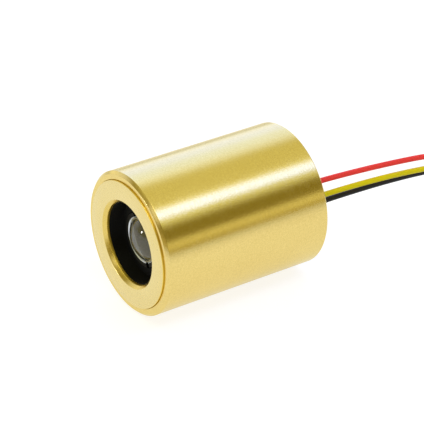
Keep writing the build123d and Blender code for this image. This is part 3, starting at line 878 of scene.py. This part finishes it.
diodeMetals = {
    "diode_mount": {"dark": (0.60, 0.44, 0.15), "light": (0.72, 0.55, 0.22), "roughness": (0.24, 0.34),
                    "depth": 0.002 * mm, "speckleShare": 0.3},
    "diode_header": {"dark": (0.78, 0.58, 0.24), "light": (0.86, 0.67, 0.32), "roughness": (0.18, 0.26),
                     "depth": 0.0006 * mm, "speckleShare": 0.8},
    "diode_cap": {"dark": (0.58, 0.55, 0.49), "light": (0.66, 0.63, 0.57), "roughness": (0.16, 0.24),
                  "depth": 0.0006 * mm, "speckleShare": 0.7},
    "diode_pins": {"dark": (0.80, 0.60, 0.26), "light": (0.88, 0.68, 0.33), "roughness": (0.16, 0.24),
                   "depth": 0.0004 * mm, "speckleShare": 0.6},
}

diodeGlass = {
    "diode_window": {"dark": (0.90, 0.95, 0.97), "light": (0.95, 0.98, 0.99), "roughness": (0.0, 0.02),
                     "fixed": {"IOR": 1.52}},
    "pin_seals": {"dark": (0.10, 0.16, 0.13), "light": (0.16, 0.24, 0.19), "roughness": (0.06, 0.14),
                  "fixed": {"IOR": 1.5}},
}

diodeChips = {
    "chip_submount": {"dark": (0.70, 0.69, 0.65), "light": (0.80, 0.79, 0.75), "roughness": (0.5, 0.62),
                      "depth": 0.0008 * mm, "grain": {"Scale": 22000.0, "Clouds": 2600.0}},
    "laser_chip": {"dark": (0.10, 0.10, 0.12), "light": (0.17, 0.17, 0.20), "roughness": (0.10, 0.18),
                   "depth": 0.0002 * mm, "grain": {"Scale": 30000.0, "Clouds": 4000.0}},
    "monitor_photodiode": {"dark": (0.07, 0.08, 0.13), "light": (0.12, 0.13, 0.20), "roughness": (0.10, 0.20),
                           "depth": 0.0002 * mm, "grain": {"Scale": 30000.0, "Clouds": 4000.0}},
}

driverParts = {
    "board_sleeve": {"dark": (0.74, 0.72, 0.66), "light": (0.82, 0.80, 0.75), "roughness": (0.42, 0.55),
                     "depth": 0.002 * mm},
    "driver_board": {"dark": (0.012, 0.13, 0.05), "light": (0.025, 0.20, 0.085), "roughness": (0.28, 0.42),
                     "depth": 0.003 * mm, "grain": {"Scale": 1800.0, "Clouds": 900.0}},
    "driver_chip": {"dark": (0.012, 0.012, 0.013), "light": (0.024, 0.024, 0.025),
                    "roughness": (0.50, 0.62), "depth": 0.002 * mm, "grain": {"Scale": 12000.0}},
    "switch_transistor": {"dark": (0.012, 0.012, 0.013), "light": (0.022, 0.022, 0.023),
                          "roughness": (0.50, 0.62), "depth": 0.002 * mm, "grain": {"Scale": 12000.0}},
    "protection_diode": {"dark": (0.014, 0.013, 0.013), "light": (0.026, 0.025, 0.025),
                         "roughness": (0.48, 0.60), "depth": 0.002 * mm, "grain": {"Scale": 12000.0}},
    "bulk_capacitor": {"dark": (0.48, 0.31, 0.05), "light": (0.58, 0.40, 0.08), "roughness": (0.42, 0.54),
                       "depth": 0.002 * mm, "grain": {"Scale": 9000.0}},
    "chip_capacitors": {"dark": (0.40, 0.28, 0.17), "light": (0.50, 0.37, 0.24), "roughness": (0.40, 0.52),
                        "depth": 0.001 * mm, "grain": {"Scale": 16000.0, "Clouds": 1800.0}},
    "chip_resistors": {"dark": (0.020, 0.020, 0.022), "light": (0.045, 0.045, 0.048),
                       "roughness": (0.22, 0.34), "depth": 0.001 * mm,
                       "grain": {"Scale": 16000.0, "Clouds": 1800.0}},
}

tinnedParts = {
    "chip_legs": {"dark": (0.60, 0.60, 0.59), "light": (0.70, 0.70, 0.69), "roughness": (0.28, 0.40)},
    "pin_solder": {"dark": (0.62, 0.62, 0.62), "light": (0.72, 0.72, 0.71), "roughness": (0.18, 0.30)},
    "lead_solder": {"dark": (0.62, 0.62, 0.62), "light": (0.72, 0.72, 0.71), "roughness": (0.18, 0.30)},
    "lead_conductors": {"dark": (0.62, 0.61, 0.58), "light": (0.74, 0.73, 0.70), "roughness": (0.24, 0.36)},
    "lead_tips": {"dark": (0.60, 0.59, 0.56), "light": (0.75, 0.74, 0.71), "roughness": (0.22, 0.36)},
}

rearParts = {
    "rear_plug": {"dark": (0.010, 0.010, 0.010), "light": (0.020, 0.020, 0.020), "roughness": (0.42, 0.56),
                  "depth": 0.006 * mm, "grain": {"Scale": 2600.0, "Clouds": 220.0}},
    "coil_tie": {"dark": (0.012, 0.012, 0.012), "light": (0.024, 0.024, 0.024), "roughness": (0.36, 0.48),
                 "depth": 0.004 * mm, "grain": {"Scale": 3000.0, "Clouds": 500.0}},
}


def ringWithPaintedRim(name, look):
    # black finish, with a pale bluish metal band on the edge round the lens: painted light that stands in for
    # the lens's bright rim
    material = turnedMetal(name, look)
    tree = material.node_tree
    shader = tree.nodes["Principled BSDF"]
    coords = addNode(tree, "ShaderNodeTexCoord")
    flat = addNode(tree, "ShaderNodeVectorMath", operation="MULTIPLY")
    flat.inputs[1].default_value = (1, 0, 1)
    tree.links.new(coords.outputs["Object"], flat.inputs[0])
    radius = addNode(tree, "ShaderNodeVectorMath", operation="LENGTH")
    tree.links.new(flat.outputs["Vector"], radius.inputs[0])
    outer = look["boreRadius"] + look["edge"]
    paintedRimMask = addNode(tree, "ShaderNodeMapRange", {"From Min": outer + look["edgeFade"], "From Max": outer})
    tree.links.new(radius.outputs["Value"], paintedRimMask.inputs["Value"])
    tree.links.new(paintedRimMask.outputs["Result"], shader.inputs["Metallic"])
    for socket, paintedRim in (("Base Color", look["paintedRim"]), ("Roughness", look["paintedRimRoughness"])):
        plain = shader.inputs[socket].links[0].from_socket
        kind = "RGBA" if socket == "Base Color" else "FLOAT"
        mix = addNode(tree, "ShaderNodeMix", data_type=kind)
        tree.links.new(paintedRimMask.outputs["Result"], mix.inputs["Factor"])
        tree.links.new(plain, mix.inputs["A"])
        mix.inputs["B"].default_value = (*paintedRim, 1) if kind == "RGBA" else paintedRim
        tree.links.new(mix.outputs["Result"], shader.inputs[socket])
    return material


tinCoat = {"depth": 0.004 * mm, "grain": {"Scale": 5000.0, "Clouds": 900.0}, "fixed": {"Metallic": 1.0}}


def tinned(name, look):
    return mouldedFinish(name, {**tinCoat, **look})


def dressNodes(looks, finish):
    for node, look in looks.items():
        mesh = nodes[node].data
        mesh.materials.clear()
        mesh.materials.append(finish(node + "Finish", look))


bpy.context.scene.view_settings.view_transform = "Standard"
makeCamera()
for colour in ("red", "yellow", "black"):
    makeLead(colour)
print("leads laid")

makeBarrel()
makeFrontRing()
makeLensCell()
makeLens()
print("turned pieces made")

dressNodes(retainer, ringWithPaintedRim)
dressNodes(diodeMetals, turnedMetal)
dressNodes(diodeGlass, clearGlass)
dressNodes(diodeChips, mouldedFinish)
dressNodes(driverParts, mouldedFinish)
dressNodes(tinnedParts, tinned)
dressNodes(rearParts, mouldedFinish)
print("packed pieces dressed")

makeFloor()
makeRoom()
makeSpark()
print("studio set")
